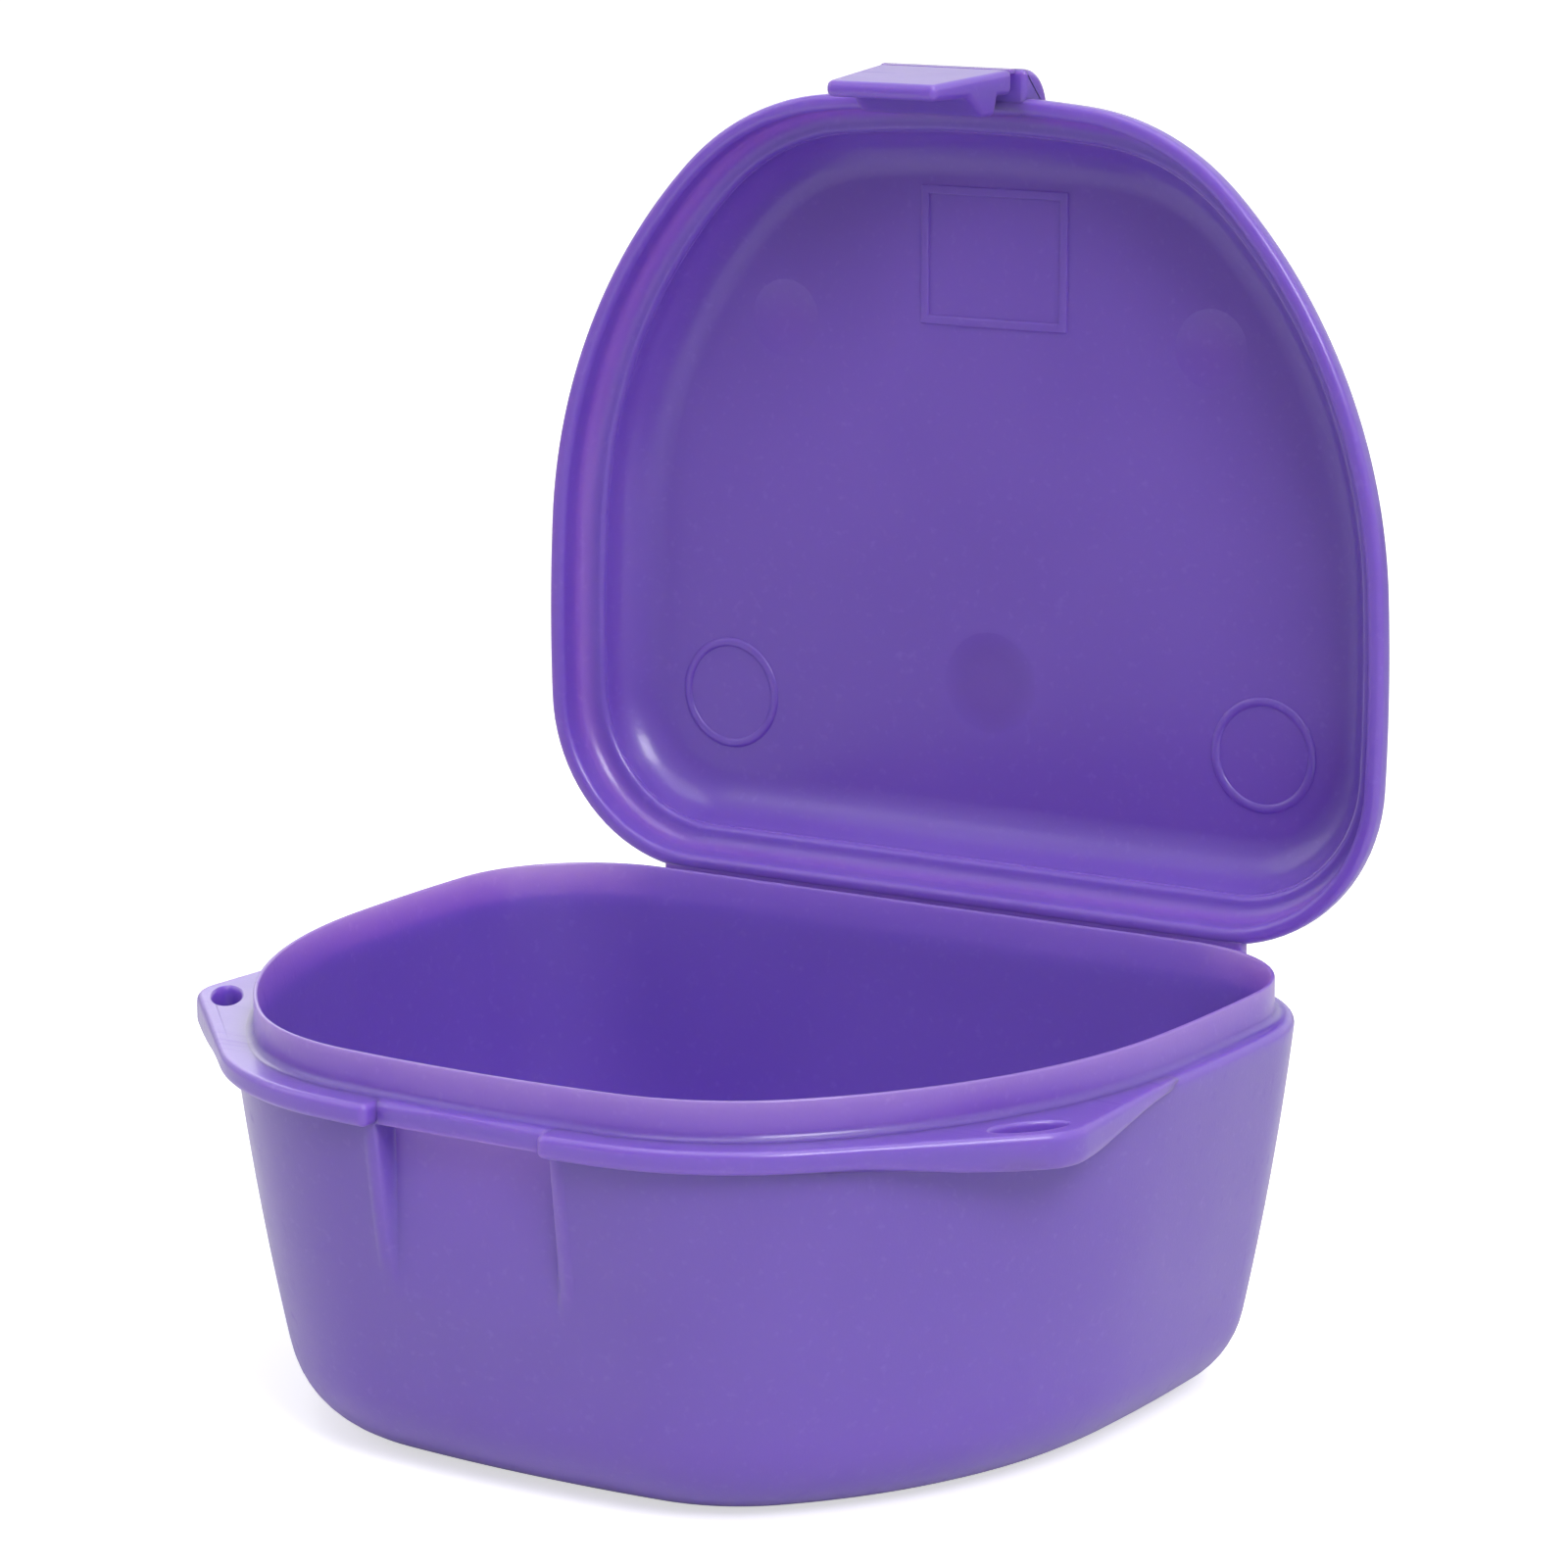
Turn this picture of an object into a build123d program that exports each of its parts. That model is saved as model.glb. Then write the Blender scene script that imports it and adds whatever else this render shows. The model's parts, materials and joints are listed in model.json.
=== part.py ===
from build123d import *
from math import cos, radians, sin, tan
import os

# Retainer case: a deep tub and a shallow lid on a film hinge at the back, with a
# snap latch that hangs from the front of the lid on a film hinge of its own.
# Millimetres. X runs across the case, -Y is the front with the latch, +Y is the
# back with the hinge, and +Z is up. The origin is on the surface that the tub
# stands on, under the middle of its outline. The lid stands open, as in use.

# Outline of the case, seen from above: the outer edge of the lid's rim.
# It runs from the straight back round a corner, along a nearly straight side,
# along the flank and round the nose to the slightly curved front.
case_width = 80.0
back_corner_radius = 14.4
side_radius = 172.0
side_angle_behind = 2.2
side_angle_ahead = 3.0
flank_radius = 47.3
flank_angle = 42.4
nose_radius = 22.0
front_half_angle = 5.4

# Tub
tub_height = 30.6
tub_wall_inset = 0.25
tub_draft = 6.2
tub_bulge = 0.002
tub_bottom_radius = 8.0
floor_thickness = 1.6
coaming_height = 3.0
coaming_inset = 1.9
coaming_thickness = 0.95
coaming_edge_radius = 0.3
cavity_draft = 5.7
cavity_bottom_radius = 6.5

# Recess in the front wall that the latch closes into
recess_height = 22.0
recess_edge_setback = 0.6
recess_corner_radius = 0.8

# Carrying edge with the two cord eyelets
edge_thickness = 2.0
edge_overhang = 1.1
edge_top_rounding = 0.45
edge_bottom_rounding = 0.9
lug_side_setback = 2.6
lug_run = 16.6
lug_radius = 3.0
eyelet_inward_shift = 0.6
eyelet_forward_shift = 1.5
eyelet_length = 6.2
eyelet_width = 2.4
eyelet_angle = 54.0

# Lid
lid_height = 8.8
lid_band_height = 1.5
lid_slope = 32.5
lid_top_radius = 4.2
lid_rim_rounding = 0.4
lid_panel_thickness = 1.45
lid_wall_setback = 3.5
lid_cavity_draft = 8.0
lid_cavity_radius = 4.1

# Raised lines and marks on the inside of the lid's panel
mark_height = 0.2
mark_line = 0.5
frame_mark_width = 14.0
frame_mark_length = 11.6
frame_mark_front_setback = 14.0
ring_mark_radius = 4.8
ring_mark_side_setback = 14.1
ring_mark_back_setback = 14.4
disc_mark_radius = 3.3
disc_mark_side_setback = 19.6
disc_mark_front_setback = 20.2
gate_mark_radius = 4.0
gate_mark_back_setback = 17.9
gate_mark_depth = 0.25

# Lid hinge: a thick leaf on each side of a thin film
lid_open_angle = 90.7
hinge_width = 56.0
hinge_leaf_depth = 0.95
hinge_leaf_height = 1.2
hinge_film_length = 1.8
hinge_film_thickness = 0.3

# Latch
latch_mount_width = 14.0
latch_mount_height = 3.8
latch_mount_reach = 2.2
latch_mount_band = 0.4
latch_root_width = 12.6
latch_tip_width = 10.1
latch_length = 10.2
latch_root_thickness = 2.0
latch_tip_thickness = 1.3
latch_edge_rounding = 0.35
latch_film_length = 0.75
latch_film_thickness = 0.35
latch_film_side_setback = 0.3
hook_catch = 0.85
hook_height = 1.8
hook_ramp = 2.0
hook_back_slope = 0.4

# Clearances
rim_gap = 0.1
coaming_side_gap = 0.2
coaming_top_gap = 0.2
hook_gap = 0.45
hook_panel_gap = 1.05
recess_side_gap = 0.6
film_end_gap = 0.03

# Each arc of the half outline, from the back, as its radius and its angle
corner_angle = 90.0 - side_angle_behind
side_angle = side_angle_behind + side_angle_ahead
nose_angle = 180.0 - corner_angle - side_angle - flank_angle - front_half_angle
half_arcs = [
    (back_corner_radius, corner_angle),
    (side_radius, side_angle),
    (flank_radius, flank_angle),
    (nose_radius, nose_angle),
]


def arc_step(radius, start_angle, angle):
    """How far an arc carries the outline, in x and y, from a given heading."""
    first = radians(start_angle)
    last = radians(start_angle + angle)
    return radius * (sin(last) - sin(first)), radius * (cos(last) - cos(first))


# The straight back takes up the width that the corner and the side leave.
side_crown = side_radius * (1 - cos(radians(side_angle_behind)))
back_half_length = case_width / 2 - back_corner_radius * cos(radians(side_angle_behind)) - side_crown

# The arcs are walked once, to find where they meet and how deep the case is.
heading = 0.0
walk_x = back_half_length
walk_y = 0.0
meeting_points = []
for arc_radius, arc_angle in half_arcs:
    step_x, step_y = arc_step(arc_radius, heading, arc_angle)
    walk_x += step_x
    walk_y += step_y
    heading += arc_angle
    meeting_points.append((walk_x, walk_y))
front_radius = walk_x / sin(radians(front_half_angle))
case_depth = -walk_y + front_radius * (1 - cos(radians(front_half_angle)))
back_y = case_depth / 2
front_y = -case_depth / 2


def outline(plane, inset=0.0):
    """The case's outline on a plane, drawn in by inset all the way round."""
    with BuildSketch(plane) as sketch:
        with BuildLine():
            last = Line((0, back_y), (back_half_length, back_y))
            for radius, angle in half_arcs:
                last = JernArc(last @ 1, last % 1, radius, -angle)
            JernArc(last @ 1, last % 1, front_radius, -front_half_angle)
            mirror(about=Plane.YZ)
        make_face()
        if inset != 0:
            offset(amount=-inset)
    return sketch.sketch


# The lid's own frame: x, y and z as they lie when the lid is closed, with z = 0 on
# its rim. Opening turns it about the hinge line.
hinge_y = back_y + hinge_leaf_depth + hinge_film_length / 2
hinge_z = tub_height + rim_gap / 2
closed_y = -hinge_y
closed_z = rim_gap / 2
open_cos = cos(radians(lid_open_angle))
open_sin = sin(radians(lid_open_angle))
lid_origin = (
    0,
    hinge_y + closed_y * open_cos + closed_z * open_sin,
    hinge_z - closed_y * open_sin + closed_z * open_cos,
)
lid_frame = Plane(origin=lid_origin, x_dir=(1, 0, 0), z_dir=(0, open_sin, open_cos))
lid_section = Plane(origin=lid_origin, x_dir=(0, open_cos, -open_sin), z_dir=(1, 0, 0))
lid_front_view = Plane(origin=lid_origin, x_dir=(1, 0, 0), z_dir=(0, -open_cos, open_sin))
lid_back = Axis(lid_frame.origin, lid_frame.y_dir)
lid_up = Axis(lid_frame.origin, lid_frame.z_dir)

# The tub as a solid body, which the wall, the lugs and the hinge leaf share
with BuildPart() as tub_block:
    for depth in (0.0, tub_height / 2, tub_height):
        draft_inset = depth * tan(radians(tub_draft)) + tub_bulge * depth**2
        with BuildSketch(Plane.XY.offset(tub_height - depth)):
            add(outline(Plane.XY, tub_wall_inset + draft_inset))
    loft()
    fillet(tub_block.edges().group_by(Axis.Z)[0], tub_bottom_radius)

# The hollow, from the coaming's top down to the floor
cavity_top = tub_height + coaming_height
with BuildPart() as tub_core:
    with BuildSketch(Plane.XY.offset(cavity_top)):
        add(outline(Plane.XY, coaming_inset + coaming_thickness))
    extrude(amount=floor_thickness - cavity_top, taper=cavity_draft)
    fillet(tub_core.edges().group_by(Axis.Z)[0], cavity_bottom_radius)

# The recess clears the latch: its panel stands behind the hook's tip.
recess_width = latch_mount_width + 2 * recess_side_gap
recess_edge_y = front_y + recess_edge_setback
hook_tip = recess_edge_y + hook_catch
with BuildPart() as tub:
    add(tub_block.part)
    with BuildSketch(Plane.XY.offset(tub_height)):
        add(outline(Plane.XY, coaming_inset))
    extrude(amount=coaming_height)
    add(tub_core.part, mode=Mode.SUBTRACT)
    fillet(tub.edges().group_by(Axis.Z)[-1], coaming_edge_radius)
    # The recess's panel is below the edge, and the edge itself is set back less.
    with BuildSketch(Plane.XY.offset(tub_height - edge_thickness)):
        with Locations((0, hook_tip + hook_panel_gap)):
            RectangleRounded(recess_width, case_depth, recess_corner_radius, align=(Align.CENTER, Align.MAX))
    extrude(amount=-recess_height, mode=Mode.SUBTRACT)
    with BuildSketch(Plane.XY.offset(tub_height)):
        with Locations((0, recess_edge_y)):
            Rectangle(recess_width, case_depth, align=(Align.CENTER, Align.MAX))
    extrude(amount=-edge_thickness, mode=Mode.SUBTRACT)
tub.part.label = "tub"

# The carrying edge stands out from the front of the wall on each side of the recess
# and widens into a lug with an eyelet for a cord.
run_out_x = meeting_points[1][0] - tub_wall_inset
run_out_y = meeting_points[1][1] + back_y
nose_start_y = meeting_points[2][1] + back_y
lug_x = case_width / 2 - lug_side_setback
lug_y = run_out_y - lug_run
eyelet_centre = (lug_x - eyelet_inward_shift, lug_y - eyelet_forward_shift)
with BuildSketch(Plane.XY) as nose_region:
    add(outline(Plane.XY, -edge_overhang))
    with Locations((0, nose_start_y)):
        Rectangle(case_width, case_depth, align=(Align.MIN, Align.MAX), mode=Mode.INTERSECT)

with BuildPart() as eyelet_lug_right:
    with BuildSketch(Plane.XY.offset(tub_height - edge_thickness)):
        with BuildLine():
            run_out = Line((0, run_out_y), (run_out_x, run_out_y))
            lug_curve = CenterArc((lug_x, lug_y), lug_radius, 0, 360)
        make_hull([*nose_region.edges(), run_out, lug_curve])
    extrude(amount=edge_thickness)
    top_curves = eyelet_lug_right.edges().group_by(Axis.Z)[-1].filter_by(GeomType.LINE, reverse=True)
    fillet(top_curves, edge_top_rounding)
    bottom_curves = eyelet_lug_right.edges().group_by(Axis.Z)[0].filter_by(GeomType.LINE, reverse=True)
    fillet(bottom_curves, edge_bottom_rounding)
    add(tub_block.part, mode=Mode.SUBTRACT)
    with BuildSketch(Plane.XY.offset(tub_height)):
        Rectangle(recess_width, 2 * case_depth)
    extrude(amount=-edge_thickness, mode=Mode.SUBTRACT)
    with BuildSketch(Plane.XY.offset(tub_height)):
        with Locations(Location(eyelet_centre, eyelet_angle)):
            SlotOverall(eyelet_length, eyelet_width)
    extrude(amount=-edge_thickness, mode=Mode.SUBTRACT)
eyelet_lug_right.part.label = "eyelet_lug_right"

with BuildPart() as eyelet_lug_left:
    add(eyelet_lug_right.part)
    mirror(about=Plane.YZ, mode=Mode.REPLACE)
eyelet_lug_left.part.label = "eyelet_lug_left"

# The lid as a solid body, which the shell, the hinge leaf and the latch mount share
with BuildPart() as lid_block:
    with BuildSketch(lid_frame):
        add(outline(Plane.XY))
    extrude(amount=lid_band_height)
    with BuildSketch(lid_frame.offset(lid_band_height)):
        add(outline(Plane.XY))
    extrude(amount=lid_height - lid_band_height, taper=lid_slope)
    fillet(lid_block.edges().group_by(lid_up)[-1], lid_top_radius)
    fillet(lid_block.edges().group_by(lid_up)[0], lid_rim_rounding)

# The hollow over the coaming, and the deeper hollow inside it
rabbet_depth = coaming_height + coaming_top_gap - rim_gap
rabbet_inset = coaming_inset - coaming_side_gap
lid_inner_depth = lid_height - lid_panel_thickness
with BuildPart() as lid_core:
    with BuildSketch(lid_frame.offset(rabbet_depth)):
        add(outline(Plane.XY, lid_wall_setback))
    extrude(amount=lid_inner_depth - rabbet_depth, taper=lid_cavity_draft)
    fillet(lid_core.edges().group_by(lid_up)[-1], lid_cavity_radius)
    with BuildSketch(lid_frame):
        add(outline(Plane.XY, rabbet_inset))
    extrude(amount=rabbet_depth)

panel_plane = lid_frame.offset(lid_inner_depth)
ring_mark_x = case_width / 2 - ring_mark_side_setback
disc_mark_x = case_width / 2 - disc_mark_side_setback
disc_mark_y = front_y + disc_mark_front_setback
ring_mark_y = back_y - ring_mark_back_setback
with BuildPart() as lid_shell:
    add(lid_block.part)
    add(lid_core.part, mode=Mode.SUBTRACT)
    # Marks stand down from the panel; the gate mark is a shallow dimple in it.
    with BuildSketch(panel_plane):
        with Locations((0, front_y + frame_mark_front_setback)):
            Rectangle(frame_mark_width, frame_mark_length)
            offset(amount=-mark_line, mode=Mode.SUBTRACT)
        with Locations((-ring_mark_x, ring_mark_y), (ring_mark_x, ring_mark_y)):
            Circle(ring_mark_radius)
            Circle(ring_mark_radius - mark_line, mode=Mode.SUBTRACT)
        with Locations((-disc_mark_x, disc_mark_y), (disc_mark_x, disc_mark_y)):
            Circle(disc_mark_radius)
    extrude(amount=-mark_height)
    with BuildSketch(panel_plane):
        with Locations((0, back_y - gate_mark_back_setback)):
            Circle(gate_mark_radius)
    extrude(amount=gate_mark_depth, mode=Mode.SUBTRACT)
lid_shell.part.label = "lid_shell"

# Hinge leaves: thick bars along the straight back of the tub and of the lid
with BuildPart() as hinge_leaf_base:
    with BuildSketch(Plane.YZ):
        with Locations((back_y + hinge_leaf_depth, tub_height)):
            Rectangle(2 * hinge_leaf_depth, hinge_leaf_height, align=(Align.MAX, Align.MAX))
    extrude(amount=hinge_width / 2, both=True)
    add(tub_block.part, mode=Mode.SUBTRACT)
hinge_leaf_base.part.label = "hinge_leaf_base"

with BuildPart() as hinge_leaf_lid:
    with BuildSketch(lid_section):
        with Locations((back_y + hinge_leaf_depth, 0)):
            Rectangle(2 * hinge_leaf_depth, hinge_leaf_height, align=(Align.MAX, Align.MIN))
    extrude(amount=hinge_width / 2, both=True)
    add(lid_block.part, mode=Mode.SUBTRACT)
hinge_leaf_lid.part.label = "hinge_leaf_lid"

# The film bends a quarter turn from the base's leaf up to the lid's leaf.
film_root = back_y + hinge_leaf_depth + film_end_gap
film_base = (film_root, tub_height - hinge_film_thickness / 2)
lid_root = lid_section.from_local_coords((film_root, hinge_film_thickness / 2))
film_lid = (lid_root.Y, lid_root.Z)
with BuildPart() as hinge_film:
    with BuildSketch(Plane.YZ):
        with BuildLine():
            TangentArc(film_base, film_lid, tangent=(1, 0))
        trace(line_width=hinge_film_thickness)
    extrude(amount=hinge_width / 2, both=True)
hinge_film.part.label = "hinge_film"

# Latch mount: a block on the front of the lid, with a rounded top
mount_front = front_y - latch_mount_reach
latch_mount_depth = latch_mount_reach + latch_mount_height
with BuildPart() as latch_mount:
    with BuildSketch(lid_section):
        with Locations((mount_front, 0)):
            Rectangle(latch_mount_depth, latch_mount_height, align=(Align.MIN, Align.MIN))
    extrude(amount=latch_mount_width / 2, both=True)
    front_edges = latch_mount.edges().filter_by(Axis.X).sort_by(lid_back)[:2]
    fillet(front_edges.sort_by(lid_up)[-1], latch_mount_height - latch_mount_band)
    add(lid_block.part, mode=Mode.SUBTRACT)
latch_mount.part.label = "latch_mount"

# Latch film: the thin strip that the flap swings on, at the outer face
latch_film_width = latch_root_width - 2 * latch_film_side_setback
latch_film_height = latch_film_length - 2 * film_end_gap
with BuildPart() as latch_film:
    with BuildSketch(lid_section):
        with Locations((mount_front, -film_end_gap)):
            Rectangle(latch_film_thickness, latch_film_height, align=(Align.MIN, Align.MAX))
    extrude(amount=latch_film_width / 2, both=True)
latch_film.part.label = "latch_film"

# Latch flap with its hook, which catches under the tub's edge when the lid is closed
flap_top = -latch_film_length
flap_bottom = flap_top - latch_length
flap_inner = mount_front + latch_root_thickness
hook_top = -rim_gap - edge_thickness - hook_gap
with BuildPart() as latch_flap:
    with BuildSketch(lid_section):
        with BuildLine():
            Polyline(
                (mount_front, flap_top),
                (flap_inner - latch_tip_thickness, flap_bottom),
                (flap_inner, flap_bottom),
                (flap_inner, hook_top - hook_height - hook_ramp),
                (hook_tip, hook_top - hook_height),
                (hook_tip, hook_top - hook_back_slope),
                (flap_inner, hook_top),
                (flap_inner, flap_top),
                close=True,
            )
        make_face()
    extrude(amount=latch_root_width / 2, both=True)
    with BuildSketch(lid_front_view):
        with BuildLine():
            Polyline(
                (-latch_root_width / 2, flap_top),
                (-latch_tip_width / 2, flap_bottom),
                (latch_tip_width / 2, flap_bottom),
                (latch_root_width / 2, flap_top),
                close=True,
            )
        make_face()
    extrude(amount=case_depth, mode=Mode.INTERSECT)
    outer_face = latch_flap.faces().sort_by(lid_back)[0]
    fillet(outer_face.edges().sort_by(lid_up)[:-1], latch_edge_rounding)
latch_flap.part.label = "latch_flap"

os.makedirs("parts", exist_ok=True)
export_step(tub.part, "parts/tub.step")
export_step(eyelet_lug_left.part, "parts/eyelet_lug_left.step")
export_step(eyelet_lug_right.part, "parts/eyelet_lug_right.step")
export_step(hinge_leaf_base.part, "parts/hinge_leaf_base.step")
export_step(hinge_film.part, "parts/hinge_film.step")
export_step(hinge_leaf_lid.part, "parts/hinge_leaf_lid.step")
export_step(lid_shell.part, "parts/lid_shell.step")
export_step(latch_mount.part, "parts/latch_mount.step")
export_step(latch_film.part, "parts/latch_film.step")
export_step(latch_flap.part, "parts/latch_flap.step")
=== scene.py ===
import json
from math import acos, atan, atan2, ceil, cos, degrees, hypot, pi, radians, sin, sqrt, tan

import bpy
from mathutils import Matrix, Vector


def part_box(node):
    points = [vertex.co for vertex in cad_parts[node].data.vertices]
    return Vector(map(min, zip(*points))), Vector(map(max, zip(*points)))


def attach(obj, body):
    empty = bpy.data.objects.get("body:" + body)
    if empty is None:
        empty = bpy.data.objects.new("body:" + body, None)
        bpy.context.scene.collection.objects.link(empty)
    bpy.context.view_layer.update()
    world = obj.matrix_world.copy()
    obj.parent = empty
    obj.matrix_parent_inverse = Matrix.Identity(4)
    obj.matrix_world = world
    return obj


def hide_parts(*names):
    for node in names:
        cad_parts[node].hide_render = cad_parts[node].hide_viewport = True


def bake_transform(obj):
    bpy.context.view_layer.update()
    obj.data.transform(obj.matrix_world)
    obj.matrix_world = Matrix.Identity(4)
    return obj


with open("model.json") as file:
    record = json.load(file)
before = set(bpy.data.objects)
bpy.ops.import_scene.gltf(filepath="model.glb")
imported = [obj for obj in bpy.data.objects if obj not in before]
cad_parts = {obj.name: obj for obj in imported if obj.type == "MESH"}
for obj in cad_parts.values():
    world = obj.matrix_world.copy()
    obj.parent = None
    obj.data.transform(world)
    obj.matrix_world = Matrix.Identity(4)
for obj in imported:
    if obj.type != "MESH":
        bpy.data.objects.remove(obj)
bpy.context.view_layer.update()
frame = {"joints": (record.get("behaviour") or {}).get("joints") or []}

# Retainer case in violet polypropylene: a deep tub, a lid on a film hinge and a snap latch.
# Pieces are drawn in millimetres, with the lid closed, then opened and brought to metres.
# +X runs across the case, -Y is the latch side, +Z is up, and the case stands on z = 0.
mm = 0.001

caseOutline = {
    "width": 80.0,
    "cornerRadius": 14.4,
    "sideRadius": 172.0,
    "sideBehind": 2.2,  # degrees
    "sideAhead": 3.0,  # degrees
    "flankRadius": 47.3,
    "flankTurn": 42.4,  # degrees
    "noseRadius": 22.0,
    "frontHalfTurn": 5.4,  # degrees
    "backSteps": 10,
    "stepLength": 1.1,
}
meshing = {
    "outlineWeld": 0.02,
    "seamWeld": 0.0005,
    "sweepWeld": 0.001,
    "near": 0.01,  # how close to a plane still counts as on it
    "facing": 0.5,  # a normal with more than this along an axis faces that way
    "sharpAngle": radians(30),
    "smoothAngle": radians(40),
    "normalWeight": 60,
}


# Steps that several pieces share
def walkOutline(form):
    # each arc turns right, from the heading "first" to "last", clockwise from +X
    cornerTurn = 90 - form["sideBehind"]
    sideTurn = form["sideBehind"] + form["sideAhead"]
    noseTurn = 180 - cornerTurn - sideTurn - form["flankTurn"] - form["frontHalfTurn"]
    sideCrown = form["sideRadius"] * (1 - cos(radians(form["sideBehind"])))
    x = form["width"] / 2 - form["cornerRadius"] * cos(radians(form["sideBehind"])) - sideCrown
    y = 0.0
    heading = 0.0
    backHalf = x
    arcs = []
    for radius, turn in (
        (form["cornerRadius"], cornerTurn),
        (form["sideRadius"], sideTurn),
        (form["flankRadius"], form["flankTurn"]),
        (form["noseRadius"], noseTurn),
        (None, form["frontHalfTurn"]),
    ):
        radius = radius or x / sin(radians(form["frontHalfTurn"]))
        arc = {"x": x - radius * sin(heading), "y": y - radius * cos(heading), "radius": radius}
        arc["first"] = heading
        heading += radians(turn)
        arc["last"] = heading
        arcs.append(arc)
        x = arc["x"] + radius * sin(heading)
        y = arc["y"] + radius * cos(heading)
    for arc in arcs:
        arc["y"] -= y / 2
    return backHalf, -y / 2, arcs


backHalf, backY, outlineArcs = walkOutline(caseOutline)
frontArc = outlineArcs[-1]
frontY = -backY


def editMode(kind="VERT"):
    if bpy.context.mode != "EDIT_MESH":
        bpy.ops.object.mode_set(mode="EDIT")
    bpy.ops.mesh.select_mode(type=kind)


def objectMode():
    if bpy.context.mode != "OBJECT":
        bpy.ops.object.mode_set(mode="OBJECT")


def takeUp(piece):
    objectMode()
    bpy.ops.object.select_all(action="DESELECT")
    piece.select_set(True)
    bpy.context.view_layer.objects.active = piece


def pick(piece, kind, test):
    # selects by place: test gets a vertex's place, an edge's two ends or a face
    editMode(kind)
    bpy.ops.mesh.select_all(action="DESELECT")
    objectMode()
    mesh = piece.data
    if kind == "VERT":
        chosen = [v for v in mesh.vertices if test(v.co)]
    elif kind == "EDGE":
        spots = [v.co for v in mesh.vertices]
        chosen = [e for e in mesh.edges if test(spots[e.vertices[0]], spots[e.vertices[1]])]
    else:
        chosen = [f for f in mesh.polygons if test(f)]
    for part in chosen:
        part.select = True
    editMode(kind)
    return len(chosen)


def startPoint(name, x, y, z):
    # a plane merged to one vertex, from which a path is drawn
    objectMode()
    bpy.ops.object.select_all(action="DESELECT")
    bpy.ops.mesh.primitive_plane_add(size=1)
    piece = bpy.context.object
    piece.name = name
    piece.data.name = name
    editMode()
    bpy.ops.mesh.select_all(action="SELECT")
    bpy.ops.mesh.merge(type="CENTER")
    bpy.ops.transform.translate(value=(x, y, z))
    return piece


def lineTo(dx, dy, dz=0.0, steps=1):
    for _ in range(steps):
        bpy.ops.mesh.extrude_region_move(
            TRANSFORM_OT_translate={"value": (dx / steps, dy / steps, dz / steps)}
        )


def arcTo(x, y, z, turn, radius):
    # the end of the path swings about an upright axis; spin takes clockwise as positive
    steps = max(1, ceil(abs(turn) * radius / caseOutline["stepLength"]))
    bpy.ops.mesh.spin(steps=steps, angle=turn, center=(x, y, z), axis=(0, 0, 1))


def closeFace(upwards=True):
    bpy.ops.mesh.select_all(action="SELECT")
    bpy.ops.mesh.remove_doubles(threshold=meshing["outlineWeld"])
    bpy.ops.mesh.edge_face_add()
    piece = bpy.context.object
    objectMode()
    facesUp = piece.data.polygons[0].normal.z > 0
    editMode("FACE")
    if facesUp != upwards:
        bpy.ops.mesh.flip_normals()
    bpy.ops.mesh.select_all(action="SELECT")
    return piece


def drawOutline(name, inset, z, columns=()):
    # half of the outline from the back, then its mirror image
    piece = startPoint(name, 0, backY - inset, z)
    lineTo(backHalf, 0, steps=caseOutline["backSteps"])
    for arc in outlineArcs[:-1]:
        arcTo(arc["x"], arc["y"], z, arc["last"] - arc["first"], arc["radius"] - inset)
    stops = [pi - c / frontArc["radius"] for c in columns] + [frontArc["last"]]
    heading = frontArc["first"]
    for stop in stops:
        arcTo(frontArc["x"], frontArc["y"], z, stop - heading, frontArc["radius"] - inset)
        heading = stop
    bpy.ops.mesh.select_all(action="SELECT")
    bpy.ops.mesh.duplicate()
    bpy.ops.transform.resize(value=(-1, 1, 1), center_override=(0, 0, 0))
    return piece


def growRings(profile, facing):
    # each step of the profile is an inset of the last face, moved along its normal
    for (inset, height), (nextInset, nextHeight) in zip(profile, profile[1:]):
        bpy.ops.mesh.inset(
            thickness=nextInset - inset,
            depth=(nextHeight - height) * facing,
            use_even_offset=True,
        )


def rounded(inset, height, radius, first, last, steps=5):
    # profile points on an arc: 0 degrees faces outwards, 90 up and 180 inwards
    points = []
    for i in range(steps + 1):
        angle = radians(first + (last - first) * i / steps)
        points.append((inset - radius * cos(angle), height + radius * sin(angle)))
    return points


def joinHalves(upper, lower):
    takeUp(upper)
    lower.select_set(True)
    bpy.ops.object.join()
    editMode()
    bpy.ops.mesh.select_all(action="SELECT")
    bpy.ops.mesh.remove_doubles(threshold=meshing["seamWeld"])
    bpy.ops.mesh.normals_make_consistent(inside=False)
    objectMode()
    return upper


def turnedShell(name, upProfile, downProfile, columns=()):
    # both profiles start on the same outline, which becomes the widest ring
    inset, height = upProfile[0]
    halves = []
    for suffix, profile, facing in (("", upProfile, 1), ("Under", downProfile, -1)):
        half = drawOutline(name + suffix, inset, height, columns)
        closeFace(upwards=facing > 0)
        growRings(profile, facing)
        halves.append(half)
    return joinHalves(*halves)


def startBlock(name, low, high):
    objectMode()
    bpy.ops.object.select_all(action="DESELECT")
    bpy.ops.mesh.primitive_cube_add(size=1, location=[(a + b) / 2 for a, b in zip(low, high)])
    piece = bpy.context.object
    piece.name = name
    piece.data.name = name
    piece.scale = [b - a for a, b in zip(low, high)]
    bpy.ops.object.transform_apply(location=True, rotation=True, scale=True)
    return piece


def roundEdges(width, segments=3):
    bpy.ops.mesh.bevel(offset=width, segments=segments, affect="EDGES")


def sharpEdges(piece, width, segments=3):
    takeUp(piece)
    editMode("EDGE")
    bpy.ops.mesh.select_all(action="DESELECT")
    bpy.ops.mesh.edges_select_sharp(sharpness=meshing["sharpAngle"])
    roundEdges(width, segments)


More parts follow.
